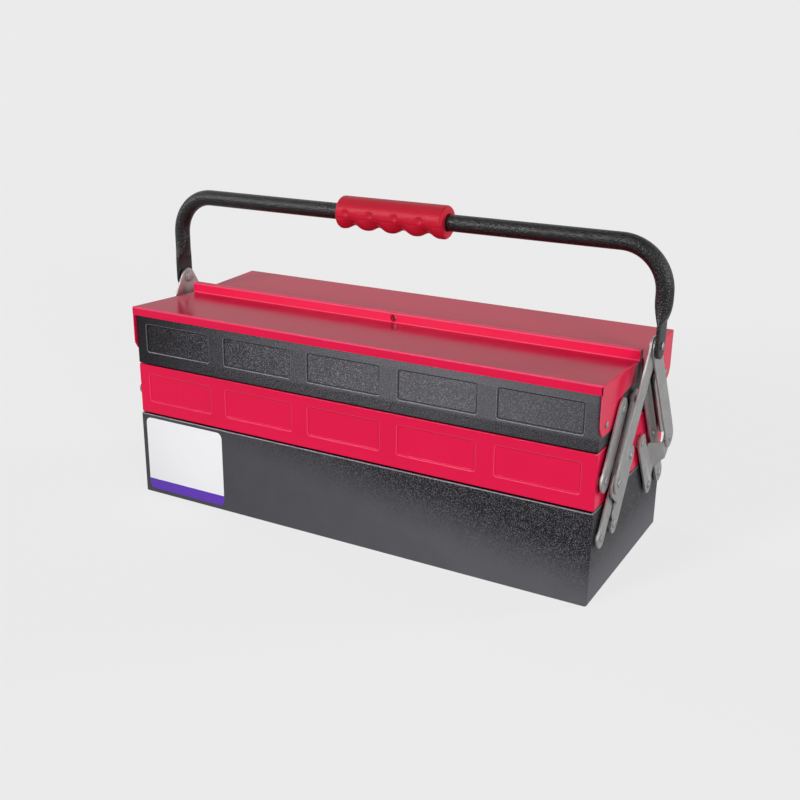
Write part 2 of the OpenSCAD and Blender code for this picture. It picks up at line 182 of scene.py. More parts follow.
def tub(half_x, y_low, y_high, z, height, stations, wall_heights, press=None):
    """A tub as a grid of profile rings by outline points; press(x, z) is how far down a
    pressed slope each point of its high side lies, and how far that draws it inwards.
    The brim counts as a slope's outer bend, which gets a painted highlight."""
    rings, slopes = [], []
    for inset, h in tub_profile(height, wall_heights):
        outline = loop(half_x, y_low, y_high, inset, stations)
        # The brim's points get the outer-bend slope value: a painted highlight along the brim.
        on_brim = h > height - edge_r - 0.01
        slope = np.full(len(outline), highlight_bend if on_brim else 0.0)
        if press is not None and inset <= sheet:
            wall = np.isclose(outline[:, 1], y_high - inset)
            slope[wall], inwards = press(outline[wall, 0], h)
            outline[wall, 1] -= inwards
        rings.append(np.column_stack([outline, np.full(len(outline), z + h)]))
        slopes.append(slope)
    return np.stack(rings), np.stack(slopes)


class Field:
    """A value that changes over a surface.  Arithmetic on it adds Math nodes."""

    def __init__(self, nodes, socket):
        self.nodes, self.socket = nodes, socket

    def math(self, operation, *values):
        """Math on this value and the others, in that order."""
        sockets = dict(enumerate((self, *values)))
        node = self.nodes.node("ShaderNodeMath", {"operation": operation}, sockets)
        return Field(self.nodes, node.outputs[0])

    def __add__(self, other):
        return self.math("ADD", other)

    def __sub__(self, other):
        return self.math("SUBTRACT", other)

    def __mul__(self, other):
        return self.math("MULTIPLY", other)

    def __truediv__(self, other):
        return self.math("DIVIDE", other)

    def __rsub__(self, other):
        sockets = {0: other, 1: self}
        node = self.nodes.node("ShaderNodeMath", {"operation": "SUBTRACT"}, sockets)
        return Field(self.nodes, node.outputs[0])

    __radd__, __rmul__ = __add__, __mul__

    def over(self, low, high):
        """0 below low, 1 above high, and a smooth step between them."""
        node = self.nodes.node(
            "ShaderNodeMapRange",
            {"interpolation_type": "SMOOTHSTEP"},
            {"Value": self, "From Min": low, "From Max": high},
        )
        return Field(self.nodes, node.outputs["Result"])


class Nodes:
    """A node tree, and a short way to add a node to it."""

    def __init__(self, tree):
        self.tree = tree

    def join(self, target, value):
        """Links a socket or a Field to the target, or writes a plain value on it."""
        if isinstance(value, Field):
            value = value.socket
        if isinstance(value, bpy.types.NodeSocket):
            self.tree.links.new(value, target)
        elif isinstance(value, tuple) and len(value) == 3 and target.type == "RGBA":
            target.default_value = (*value, 1.0)
        else:
            target.default_value = value

    def node(self, kind, settings=None, sockets=None):
        """A node of any kind: its settings are written first, then its sockets."""
        made = self.tree.nodes.new(kind)
        for key, value in (settings or {}).items():
            setattr(made, key, value)
        for key, value in (sockets or {}).items():
            self.join(made.inputs[key], value)
        return made


class Finish(Nodes):
    """One paint, plating or moulding: a material with a Principled shader."""

    def __init__(self, name, roughness, metallic=0.0, **sockets):
        self.material = bpy.data.materials.new(name)
        self.material.use_nodes = True
        super().__init__(self.material.node_tree)
        self.shader = self.tree.nodes["Principled BSDF"]
        self.shader.inputs["Metallic"].default_value = metallic
        self.set("Roughness", roughness)
        for socket, value in sockets.items():
            self.set(socket.replace("_", " "), value)
        self.place = self.node("ShaderNodeTexCoord").outputs["Object"]

    def set(self, socket, value):
        """Links or writes a value on one of the shader's sockets."""
        self.join(self.shader.inputs[socket], value)

    def noise(self, size, detail=2.0, stretch=(1.0, 1.0, 1.0), roughness=0.5):
        """Noise from 0 to 1 whose lumps are about size millimetres across."""
        where = self.node(
            "ShaderNodeVectorMath",
            {"operation": "MULTIPLY"},
            {0: self.place, 1: tuple(s / (size * mm) for s in stretch)},
        )
        made = self.node(
            "ShaderNodeTexNoise",
            None,
            {
                "Vector": where.outputs[0],
                "Scale": 1.0,
                "Detail": detail,
                "Roughness": roughness,
            },
        )
        return Field(self, made.outputs["Fac"])

    def axis(self, name):
        """Place along the X, Y or Z axis in millimetres."""
        apart = self.node("ShaderNodeSeparateXYZ", None, {0: self.place})
        return Field(self, apart.outputs[name]) / mm

    def attribute(self, name):
        """A value kept on the piece's own mesh."""
        kept = self.node("ShaderNodeAttribute", {"attribute_name": name})
        return Field(self, kept.outputs["Fac"])

    def bends(self):
        """The outer bend of a pressed slope, which gets a painted highlight, and its inner bend,
        which gets painted shade."""
        slope = self.attribute("slope")
        outer = slope.over(0.0, 0.12) * (1 - slope.over(0.16, 0.42))
        inner = slope.over(0.35, 0.70) * (1 - slope.over(0.90, 1.0))
        return outer, inner

    def blend(self, share, low, high):
        """Colour between low and high by a share from 0 to 1."""
        made = self.node("ShaderNodeMix", {"data_type": "RGBA"}, {0: share, 6: low, 7: high})
        return made.outputs[2]

    def bump(self, height, depth):
        """Raises the surface by height, from 0 to 1, times depth in millimetres."""
        made = self.node(
            "ShaderNodeBump", None, {"Height": height, "Distance": depth * mm, "Strength": 1.0}
        )
        self.set("Normal", made.outputs["Normal"])


cool_gloss = (0.93, 0.87, 1.0)
black_coat = (0.005, 0.0045, 0.0055)
aluminium_flake = (0.50, 0.49, 0.54)


def hammer_paint(name, low_z, brim_z, even, grainy):
    """Black hammer-tone: a black coat with dimples a millimetre across, and aluminium flake in
    it.  even(x, z) and grainy(x, z), with x and z from -1 to 1 over the piece, are the flake
    that lies evenly and the flake in bright grains; how they spread over the piece is a painted
    reflection and painted shade, lighter and glinting where lamps would be mirrored.  The brim
    and the outer bends get a painted highlight, and the inner bends painted shade."""
    paint = Finish(name, 0.42, Specular_IOR_Level=0.22, Specular_Tint=cool_gloss)
    dimples = paint.noise(1.2, 2.0, roughness=0.6)
    grit = paint.noise(0.5, 1.0)
    drift = paint.noise(26.0, 3.0)
    outer, inner = paint.bends()
    across = paint.axis("X") / half_length
    up = (paint.axis("Z") - low_z) / ((brim_z - low_z) / 2) - 1
    # Where the flake gathers in grains: a painted pattern of glints, placed where lamps would be
    # mirrored.
    painted_glints = grainy(across, up)
    grains = paint.noise(0.75, 1.0).over(0.51, 0.68)
    flakes = even(across, up) * (drift * 0.3 + 0.85) + grains * painted_glints
    # Paler flake on the outer bends is a painted highlight; darker paint in the inner bends is
    # painted shade.
    bend_highlight = outer * (dimples.over(0.35, 0.60) * 0.4 + 0.25)
    share = flakes.math("MAXIMUM", bend_highlight) * (1 - inner * 0.9)
    paint.set("Base Color", paint.blend(share, black_coat, aluminium_flake))
    paint.set("Metallic", share)
    paint.set("Roughness", grit * 0.10 + drift * 0.12 + 0.32)
    relief = (dimples.over(0.30, 0.70) * 0.8 + grit * 0.2) * (painted_glints * 2.0 + 0.3)
    paint.bump(relief, 0.12)
    return paint.material


def dress(piece, body, slot, material, *nodes):
    """Gives a finished piece its material, its body and the nodes that it stands for."""
    piece.data.materials.clear()
    piece.data.materials.append(material)
    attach(piece, body)
    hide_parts(*nodes)


half_length, half_depth, body_height = np.array(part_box("body_box")[1]) / mm

body_rings, body_slopes = tub(
    half_length,
    -half_depth,
    half_depth,
    0.0,
    body_height,
    np.linspace(-half_length, half_length, 25)[1:-1],
    np.linspace(0, body_height, 9),
)


def glint_zone(across, up):
    """Where the box's flake gathers in bright grains, towards the right end and the brim: a
    painted reflection of the lamps, with less even flake there between the glints.
    """
    return (across + up).over(-0.1, 1.3)


# The box's even flake grows towards the right end, a painted broad reflection, and gives way to
# painted glints in the glint zone.
hammer_black = hammer_paint(
    "hammer_black",
    0.0,
    body_height,
    even=lambda across, up: (1 - glint_zone(across, up)) * (across * 0.06 + 0.16),
    grainy=lambda across, up: glint_zone(across, up) * 0.33,
)
bottom_box = skin("bottom_box", [body_rings], slopes=body_slopes)
dress(bottom_box, "box", "black_hammer", hammer_black, "body_box")


# ---- The four trays ---------------------------------------------------------------
# Each is a smaller tub of the same sheet.  A row of shallow panels is pressed into its
# outer wall to stiffen it.  The middle pair is gloss red, the top pair hammer black.

panel_count = 5
panel_gap = 18.2
panel_end = 13.5
panel_height = 32.5
panel_foot = 13.5
panel_depth = 1.2
panel_slope = 2.2
panel_bend = 0.25
panel_r = 3.5
edge_margin = 4.2
edge_step = 0.26
plain_heights = [4, 8, 25, 30, 35, 50, 53]
panel_pitch = (2 * half_length - 2 * panel_end + panel_gap) / panel_count
panel_width = panel_pitch - panel_gap


def pressed(x, h):
    """Depth of the pressing: the distance inside the nearest rounded panel, as a share
    of the slope's width, through a straight ramp whose ends are short parabolas.  The
    share comes first."""
    from_middle = np.abs((x / panel_pitch + panel_count / 2) % 1 - 0.5) * panel_pitch
    across = from_middle - (panel_width / 2 - panel_r)
    upward = abs(h - panel_foot - panel_height / 2) - (panel_height / 2 - panel_r)
    outside = np.hypot(np.maximum(across, 0), max(upward, 0))
    distance = outside + np.minimum(np.maximum(across, upward), 0) - panel_r
    share = np.clip(-distance / panel_slope, 0, 1)
    ramp = 2 * panel_bend * (1 - panel_bend)
    straight = (share - panel_bend / 2) / (1 - panel_bend)
    rise = np.where(share < panel_bend, share**2 / ramp, straight)
    rise = np.where(share > 1 - panel_bend, 1 - (1 - share) ** 2 / ramp, rise)
    return share, panel_depth * rise


def edge_stations(low, high):
    """Stations close together inside both ends of a span, and none between them."""
    run = np.arange(-0.5, edge_margin, edge_step)
    return np.concatenate([low + run, high - run])


panel_centres = (np.arange(panel_count) - (panel_count - 1) / 2) * panel_pitch
panel_ends = [edge_stations(c - panel_width / 2, c + panel_width / 2) for c in panel_centres]
tray_stations = np.unique(np.concatenate(panel_ends + [panel_centres]))
panel_edges = edge_stations(panel_foot, panel_foot + panel_height)
tray_heights = np.unique(np.concatenate([panel_edges, plain_heights]))
red_coats = (0.66, 0.006, 0.053), (0.73, 0.008, 0.063)
# Pale red for the painted highlight on outer bends, and deep red for the painted shade in inner
# bends.
highlight_red = (0.84, 0.14, 0.26)
crease_shade_red = (0.45, 0.001, 0.03)


def gloss_red_paint():
    """Gloss red: a clear smooth coat with a faint orange peel, with a painted highlight on the
    outer bends and painted shade in the inner bends."""
    paint = Finish("gloss_red", 0.30, Specular_IOR_Level=0.26, Specular_Tint=cool_gloss)
    peel = paint.noise(3.2, 2.0)
    drift = paint.noise(60.0, 2.0)
    outer, inner = paint.bends()
    coat = paint.blend(drift, *red_coats)
    # Painted highlight on the outer bends, then painted shade in the inner bends.
    coat = paint.blend(outer * 0.4, coat, highlight_red)
    paint.set("Base Color", paint.blend(inner * 0.3, coat, crease_shade_red))
    paint.set("Roughness", drift * 0.08 + 0.15)
    paint.bump(peel, 0.02)
    return paint.material


gloss_red = gloss_red_paint()
top_low, top_high = (float(corner.z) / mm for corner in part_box("rear_top_tray"))
# The tray's even flake rises from the left end to right of the middle and falls a little at the
# right end, a painted broad reflection; it is much less below the panels, painted shade, and
# more above them, a painted highlight. Its grains, painted glints, gather most from left of the
# middle to the middle.
tray_black = hammer_paint(
    "hammer_black_tray",
    top_low,
    top_high,
    even=lambda across, up: (
        (across.over(-1.0, 0.55) * 0.19 - across.over(0.4, 1.3) * 0.1 - 0.005)
        * (up.over(-0.66, -0.50) * 0.7 + up.over(0.55, 0.66) * 0.3 + 0.3)
    ),
    grainy=lambda across, up: across.over(-1.2, -0.4) * 0.46 - across.over(-0.1, 1.0) * 0.22,
)
for side, facing in (("front", -1), ("rear", 1)):
    for level, slot, paint in (
        ("middle", "red_gloss", gloss_red),
        ("top", "black_hammer", tray_black),
    ):
        node = f"{side}_{level}_tray"
        low, high = (np.array(corner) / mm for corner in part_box(node))
        near, far = sorted(abs(v) for v in (low[1], high[1]))
        tall = high[2] - low[2]
        rings, slopes = tub(
            half_length, near, far, low[2], tall, tray_stations, tray_heights, pressed
        )
        rings[..., 1] *= facing
        dress(skin(f"{side}_{level}_pan", [rings], slopes=slopes), node, slot, paint, node)


# ---- The two lids ------------------------------------------------------------------
# Folded from one sheet each: a flange along the outside, a top that falls to a hollow
# rim along the middle, and at both ends a flap whose ear hangs on the tray's rivet.

lid_flange = 9.5
lid_outer = half_depth + 1.2
lid_edge_z = float(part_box("rear_top_tray")[1].z) / mm + 7.9
lid_inner_z = lid_edge_z - 4.5
rim_height = 10.5
rim_inner = 0.4
rim_outer = rim_inner + 4.1
rim_foot = 3.0
flap_face = half_length + 0.5 + sheet
bend_r = 1.3
bend_steps = 5
flap_inset = 3.5
crease_angle = math.radians(32)
padlock_d = 7.5
padlock_z = lid_inner_z + 4.7
ear_rivet = (91.0, 175.6)
ear_foot = ear_rivet[1] - 9.6


def bent(points, steps=bend_steps):
    """Open line through points [y, z, r]: each corner is an arc of its own radius r,
    tangent to both of its straight runs, with a point close beside each of its ends."""
    line = [np.array(points[0][:2])[None]]
    for before, corner, after in zip(points, points[1:], points[2:]):
        b, r = np.array(corner[:2]), corner[2]
        u = np.array(before[:2]) - b
        w = np.array(after[:2]) - b
        u, w = u / np.linalg.norm(u), w / np.linalg.norm(w)
        half = math.acos(float(u @ w)) / 2
        centre = b + (u + w) / np.linalg.norm(u + w) * r / math.sin(half)
        start = b + u * r / math.tan(half) - centre
        stop = b + w * r / math.tan(half) - centre
        first = math.atan2(start[1], start[0])
        turn = (math.atan2(stop[1], stop[0]) - first + math.pi) % (2 * math.pi) - math.pi
        t = first + turn * np.linspace(0, 1, steps + 1)
        turned_line = centre + r * np.stack([np.cos(t), np.sin(t)], axis=-1)
        line += [[turned_line[0] + beside * u], turned_line, [turned_line[-1] + beside * w]]
    line.append(np.array(points[-1][:2])[None])
    return np.concatenate(line)


def flap_foot(y):
    """Height of the flap's lower outline: the ear's round foot, a slanted waist and a
    high level run to the steep inner edge."""
    outline = bent(
        [
            (rim_outer + flap_inset, lid_inner_z - 0.4, 0),
            (rim_outer + 8, 193.5, 3),
            (52.5, 191.5, 12),
            (76.5, ear_foot, 9),
            (lid_outer, ear_foot, 13),
            (lid_outer + 0.01, lid_edge_z, 0),
        ],
        12,
    )
    return np.interp(y, outline[:, 0], outline[:, 1])


def lid_sheet(name, facing):
    """The outside of a lid's sheet as a grid of section points by stations along it.
    Past the flat top the stations turn down a quarter circle and run down the flap."""
    corners = [
        (lid_outer, lid_edge_z - lid_flange, 0),
        (lid_outer, lid_edge_z, 1.5),
        (rim_outer, lid_inner_z, 0.6),
        (rim_outer, lid_inner_z + rim_height, 1.2),
        (rim_inner, lid_inner_z + rim_height, 1.2),
        (rim_inner, lid_inner_z - rim_foot, 0),
    ]
    section = bent(corners)
    # The lid's bends get the outer-bend slope value: a painted highlight along each bend.
    bend_slopes = [0, *[highlight_bend] * (bend_steps + 1), 0]
    bend_highlight = np.concatenate([[0], np.tile(bend_slopes, len(corners) - 2), [0]])
    top_from = bend_steps + 2
    top_to = top_from + 3
    fill = np.linspace(0, 1, 30)[1:-1, None]
    across = section[top_from + 1] * (1 - fill) + section[top_to - 1] * fill
    section = np.concatenate([section[: top_from + 2], across, section[top_to - 1 :]])
    bend_highlight = np.insert(bend_highlight, top_from + 2, np.zeros(len(fill)))
    top_to += len(fill)
    rows = len(section)
    flat = np.append(np.linspace(0, 1 - beside / flap_face, 14), 1)
    bend = arc(0, 90, 5)[1:]
    drop = np.append(0.01, np.linspace(0, 1, 22)[1:])
    y, z = section[:, 0:1], section[:, 1:2]
    on_top = ((np.arange(rows) >= top_from) & (np.arange(rows) <= top_to))[:, None]
    flat_end = np.where(on_top, flap_face - bend_r, flap_face)
    edge_y, hollow_y = section[top_from, 0], section[top_to, 0]
    share = np.clip((y - hollow_y) / (edge_y - hollow_y), 0, 1)
    flap_y = rim_outer + flap_inset + share * (lid_outer - rim_outer - flap_inset)
    foot = np.minimum(flap_foot(flap_y), z - bend_r - 0.05)
    slide = (flap_y - y) * (bend / bend[-1])
    on_flat, on_flap = (rows, len(flat)), (rows, len(drop))
    x_parts = flat * flat_end, flat_end + bend_r * np.sin(bend), np.full(on_flap, flap_face)
    y_parts = np.broadcast_to(y, on_flat), y + slide, np.broadcast_to(flap_y, on_flap)
    z_parts = (
        np.broadcast_to(z, on_flat),
        z - bend_r * (1 - np.cos(bend)),
        z - bend_r - drop * (z - bend_r - foot),
    )
    right = np.stack([np.concatenate(part, axis=1) for part in (x_parts, y_parts, z_parts)], -1)
    right[..., 1] *= facing
    left = right[:, :0:-1] * [-1, 1, 1]
    grid = np.concatenate([left, right], axis=1)
    index = np.arange(grid.shape[0] * grid.shape[1]).reshape(grid.shape[:2])
    low, high = index[:-1], index[1:]
    quads = np.stack([low[:, :-1], low[:, 1:], high[:, 1:], high[:, :-1]], axis=-1)
    middle = index.shape[1] // 2
    column = np.abs(np.arange(index.shape[1] - 1) + 0.5 - middle)
    row = np.arange(rows - 1)[:, None]
    keep = (column[None] < len(flat) - 1) | ((row >= top_from) & (row < top_to))
    piece = piece_from(name, grid.reshape(-1, 3), quads[keep].tolist())
    keep_slopes(piece, np.repeat(bend_highlight, grid.shape[1]))
    b = bmesh.new()
    b.from_mesh(piece.data)
    bmesh.ops.delete(b, geom=[v for v in b.verts if not v.link_faces], context="VERTS")
    bmesh.ops.recalc_face_normals(b, faces=b.faces)
    upward = sum(f.normal.z * f.calc_area() for f in b.faces)
    if upward < 0:
        bmesh.ops.reverse_faces(b, faces=b.faces)
    b.to_mesh(piece.data)
    b.free()
    return piece


def settle(piece):
    """Replaces a piece's mesh by its evaluated one, so that no modifier is left on it."""
    evaluated = piece.evaluated_get(bpy.context.evaluated_depsgraph_get())
    mesh = bpy.data.meshes.new_from_object(evaluated)
    piece.modifiers.clear()
    piece.data = mesh


def even_shading(piece):
    """Shades a piece smooth over its rounds, while its large faces stay flat."""
    piece.data.shade_smooth()
    piece.data.set_sharp_from_angle(angle=crease_angle)
    weigh = piece.modifiers.new("weigh", "WEIGHTED_NORMAL")
    weigh.mode, weigh.weight, weigh.keep_sharp = "FACE_AREA", 90, True
    settle(piece)


def bore(piece, at, radius, length):
    """Cuts a round hole along Y through a piece."""
    ring = arc(0, 360, 40)[:-1]
    x, z = at[0] + radius * np.cos(ring), at[2] + radius * np.sin(ring)
    circle = np.stack([x, np.full_like(x, at[1]), z], axis=-1)
    ends = np.stack([circle - [0, length / 2, 0], circle + [0, length / 2, 0]])
    cutter = skin("cutter", [ends])
    cut = piece.modifiers.new("bore", "BOOLEAN")
    cut.operation, cut.object, cut.solver = "DIFFERENCE", cutter, "EXACT"
    settle(piece)
    bpy.data.objects.remove(cutter)


for side, facing in (("front", -1), ("rear", 1)):
    lid = lid_sheet(f"{side}_cover", facing)
    wall = lid.modifiers.new("wall", "SOLIDIFY")
    wall.thickness, wall.offset = sheet * mm, -1.0
    settle(lid)
    bore(lid, (0, facing * (rim_inner + rim_outer) / 2, padlock_z), padlock_d / 2, 8.0)
    even_shading(lid)
    dress(lid, f"{side}_lid", "red_gloss", gloss_red, f"{side}_lid")


# ---- The links, arms and legs --------------------------------------------------------
# Flat steel bars, cropped with round ends and tumbled, then zinc plated.  The lugs of
# the inner links are bent outwards to carry the legs.

bar_edge = 0.35
round_steps = 3
merge_reach = 0.002
dull_tones = (0.50, 0.495, 0.495), (0.62, 0.615, 0.61)


def zinc_plate(name, tones, roughness):
    """Dull zinc: cloudy spangle over faint drawing lines along the bars."""
    plate = Finish(name, roughness, metallic=1.0)
    cloud = plate.noise(9.0, 4.0)
    grain = plate.noise(0.5, 2.0)
    lines = plate.noise(0.6, 2.0, stretch=(1.0, 1.0, 0.05))
    tone = cloud * 0.5 + grain * 0.2 + lines * 0.3
    plate.set("Base Color", plate.blend(tone.over(0.3, 0.7), *tones))
    plate.set("Roughness", cloud * 0.2 + roughness - 0.1)
    plate.bump(grain * 0.4 + lines * 0.6, 0.03)
    return plate.material


def eased_copy(node, name):
    """A copy of a CAD bar: its loose triangles are merged and its edges broken."""
    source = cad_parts[node]
    piece = bpy.data.objects.new(name, source.data.copy())
    bpy.context.scene.collection.objects.link(piece)
    b = bmesh.new()
    b.from_mesh(piece.data)
    bmesh.ops.remove_doubles(b, verts=b.verts, dist=merge_reach * mm)
    bmesh.ops.dissolve_limit(
        b, angle_limit=math.radians(0.3), verts=b.verts, edges=b.edges, delimit=set()
    )
    b.to_mesh(piece.data)
    b.free()
    piece.data.shade_smooth()
    ease = piece.modifiers.new("ease", "BEVEL")
    ease.width, ease.segments, ease.limit_method = bar_edge * mm, round_steps, "ANGLE"
    ease.angle_limit = math.radians(40)
    ease.use_clamp_overlap = True
    settle(piece)
    even_shading(piece)
    return piece


dull_zinc = zinc_plate("dull_zinc", dull_tones, 0.50)
for side in ("front", "rear"):
    for end in ("left", "right"):
        for bar, body in (
            ("long_arm", "long_arms"),
            ("inner_link", "inner_links"),
            ("outer_link", "outer_links"),
            ("leg", "legs"),
        ):
            node = f"{end}_{side}_{bar}"
            piece = eased_copy(node, f"{node}_bar")
            dress(piece, f"{side}_{body}", "zinc_steel", dull_zinc, node)


# ---- The rivets, pins and washers ------------------------------------------------------
# Turned steel, zinc plated bright: each rivet has a flat head inside the wall, and a
# domed head outside with the small crater that the setting punch leaves.

rivet_r = 2.5
head_r = 4.2
head_t = 1.4
dome_foot = 0.45
inner_head_t = 1.2
tip_r = 0.02  # from the axis to where a profile ends
chamfer = 0.2
bright_tones = (0.40, 0.395, 0.395), (0.56, 0.555, 0.55)
bar_t = 1.8
fit = 0.05
flap_x = half_length + 0.5
bar_x = flap_x + sheet + 1.4
bar_face = bar_x + bar_t
front_lug_x = bar_face + 2.7
front_foot_x = front_lug_x + bar_t + 0.3
rear_lug_x = front_lug_x + 6.4
rear_foot_x = rear_lug_x + bar_t + 0.3
front_leg_x = front_foot_x + 2.3
plate_x = front_leg_x + bar_t + 0.2 + bar_t + 0.3
plate_t = 4.2
pin_r = 3.0
pin_head_r = pin_r + 2.2
pin_end_r = pin_r + 1.0
ear_head_r = head_r - 1.0
columns = (18.0, 54.5, 91.0)
body_row = body_height - 29.6
stage = 57.0
middle_row, top_row = body_row + stage, body_row + 2 * stage
foot_place = (columns[1] + 16.5, body_row + 49.0)
apex_z = lid_inner_z + rim_height + 5.5


def domed(radius, x):
    """Profile [radius, x] of a domed head from its undercut foot to the crater in its
    middle."""
    t = arc(-20, 78, 7)
    dome_r = radius * (0.55 + 0.45 * np.cos(t))
    dome_x = x + dome_foot + (head_t - dome_foot) * np.sin(t)
    crater = [
        [radius * 0.50, x + head_t],
        [radius * 0.43, x + head_t - 0.08],
        [radius * 0.37, x + head_t - 0.80],
        [radius * 0.24, x + head_t - 1.02],
        [tip_r, x + head_t - 1.05],
    ]
    return np.concatenate([[[radius - 0.7, x]], np.stack([dome_r, dome_x], axis=-1), crater])


def flat_head(radius, x, thickness):
    """Profile of a flat inner head whose rim is broken by a small round."""
    t = arc(90, 0, 3)
    rim = np.stack([radius - 0.3 + 0.3 * np.cos(t), x + 0.3 - 0.3 * np.sin(t)], axis=-1)
    return np.concatenate([[[tip_r, x]], rim, [[radius, x + thickness]]])


def turned(profile, end, at, sides=28):
    """Rings of a solid of revolution about a line along X through a depth and height."""
    ring = arc(0, 360, sides)[:-1]
    r, x = profile[:, 0:1], profile[:, 1:2]
    return np.stack(
        [
            np.broadcast_to(end * x, (len(profile), sides)),
            at[0] + r * np.cos(ring),
            at[1] + r * np.sin(ring),
        ],
        axis=-1,
    )


def rivet_profile(inner_x, outer_x, shank=rivet_r, inner_r=head_r, outer_r=head_r):
    """A whole rivet: flat head, shank and domed head."""
    return np.concatenate(
        [
            flat_head(inner_r, inner_x - inner_head_t, inner_head_t),
            [[shank, inner_x], [shank, outer_x]],
            domed(outer_r, outer_x),
        ]
    )


def washer_profile(from_x, to_x, bore_r, rim_r):
    """Closed section of a washer, with a small chamfer on its outer edges."""
    return np.array(
        [
            [bore_r, from_x],
            [rim_r - chamfer, from_x],
            [rim_r, from_x + chamfer],
            [rim_r, to_x - chamfer],
            [rim_r - chamfer, to_x],
            [bore_r, to_x],
        ]
    )


def at_ends(profile, places):
    """The same turned piece at both ends of the box, at each place."""
    return [turned(profile, end, at) for end in (-1, 1) for at in places]


bright_zinc = zinc_plate("bright_zinc", bright_tones, 0.42)


def studs(name, solids, body, node):
    """Rivets or pins as one piece of bright zinc."""
    dress(skin(name, solids), body, "bright_zinc", bright_zinc, node)


def washers(name, solids, body, node):
    """Washers as one piece of dull zinc."""
    dress(skin(name, solids, wrap=True), body, "zinc_steel", dull_zinc, node)


wall_in = half_length - sheet
wall_rivet = rivet_profile(wall_in, bar_face + fit)
ear_rivet_profile = rivet_profile(wall_in, flap_x + sheet + fit, outer_r=ear_head_r)
spacer = washer_profile(half_length, bar_x - 0.3, rivet_r + fit, rivet_r + 3)

body_places = [(s * y, body_row) for s in (-1, 1) for y in columns[1:]]
studs("box_rivets", at_ends(wall_rivet, body_places), "box", "body_rivets")
washers("box_spacers", at_ends(spacer, body_places), "box", "body_washers")
for side, facing in (("front", -1), ("rear", 1)):
    middle_places = [(facing * y, middle_row) for y in columns]
    top_places = [(facing * y, top_row) for y in columns[:2]]
    ear_place = [(facing * ear_rivet[0], ear_rivet[1])]
    top_rivets = at_ends(wall_rivet, top_places) + at_ends(ear_rivet_profile, ear_place)
    for level, rivets, places in (
        ("middle", at_ends(wall_rivet, middle_places), middle_places),
        ("top", top_rivets, top_places),
    ):
        body = f"{side}_{level}_tray"
        spacers = at_ends(spacer, places)
        studs(f"{side}_{level}_studs", rivets, body, f"{side}_{level}_rivets")
        washers(f"{side}_{level}_spacers", spacers, body, f"{side}_{level}_washers")

for side, facing, lug_x, foot_x in (
    ("front", -1, front_lug_x, front_foot_x),
    ("rear", 1, rear_lug_x, rear_foot_x),
):
    place = [(facing * foot_place[0], foot_place[1])]
    lug_head = flat_head(head_r - 0.6, lug_x - inner_head_t, inner_head_t)
    lug_shank = [[rivet_r, lug_x], [rivet_r, lug_x + bar_t], [tip_r, lug_x + bar_t]]
    leg_shank = [[tip_r, foot_x], [rivet_r, foot_x], [rivet_r, foot_x + bar_t]]
    lug_half = at_ends(np.concatenate([lug_head, lug_shank]), place)
    leg_half = at_ends(np.concatenate([leg_shank, domed(head_r, foot_x + bar_t)]), place)
    studs(f"{side}_lug_studs", lug_half, f"{side}_inner_links", f"{side}_lug_rivets")
    studs(f"{side}_leg_studs", leg_half, f"{side}_legs", f"{side}_leg_rivets")

pin_place = [(0, apex_z)]
washer_x = front_leg_x - 0.3 - 1.0
pin = rivet_profile(washer_x, plate_x + plate_t + fit, pin_r, pin_head_r, pin_end_r)
pin_washer = washer_profile(washer_x, washer_x + 1.0, pin_r, pin_head_r + 1.5)
studs("handle_pins", at_ends(pin, pin_place), "apex_pins", "apex_pins")
washers("pin_washers", at_ends(pin_washer, pin_place), "apex_pins", "apex_washers")


# ---- The handle ---------------------------------------------------------------------------
# Welded steel tube, 17 mm across, bent at two elbows.  Its ends are pressed flat and
# punched for the pivot pins.  Textured black powder coat.

tube_r = 8.5
tube_x = plate_x + plate_t / 2
bar_z = apex_z + 94.0
elbow_r = 44.0
flat_half = 12.5
flat_top = apex_z + 22.0
round_from = apex_z + 46.0
flatten_rate = 2.4
slot_power = 0.45
powder_tones = (0.003, 0.003, 0.003), (0.010, 0.010, 0.011)


def handle_path():
    """Half of the centre line: up the leg, round the elbow as a quarter circle, and
    along the bar, as points and directions."""
    end = arc(90, 4, 9)
    tip = apex_z - flat_half * np.sin(end)
    flat = np.linspace(apex_z, flat_top, 5)[1:]
    taper = flat_top + (round_from - flat_top) * np.linspace(0, 1, 19)[1:] ** 1.5
    leg_z = np.concatenate([tip, flat, taper, [bar_z - elbow_r - 2]])
    turn = arc(0, 90, 18)
    leg = np.stack([np.full_like(leg_z, tube_x), leg_z], axis=-1)
    elbow_x = tube_x - elbow_r + elbow_r * np.cos(turn)
    elbow_z = bar_z - elbow_r + elbow_r * np.sin(turn)
    elbow = np.stack([elbow_x, elbow_z], axis=-1)
    level = np.linspace(tube_x - elbow_r, 0, 14)[1:]
    bar = np.stack([level, np.full_like(level, bar_z)], axis=-1)
    points = np.concatenate([leg, elbow, bar])
    angle = np.concatenate([np.zeros(len(leg)), turn, np.full(len(level), math.pi / 2)])
    return points, angle


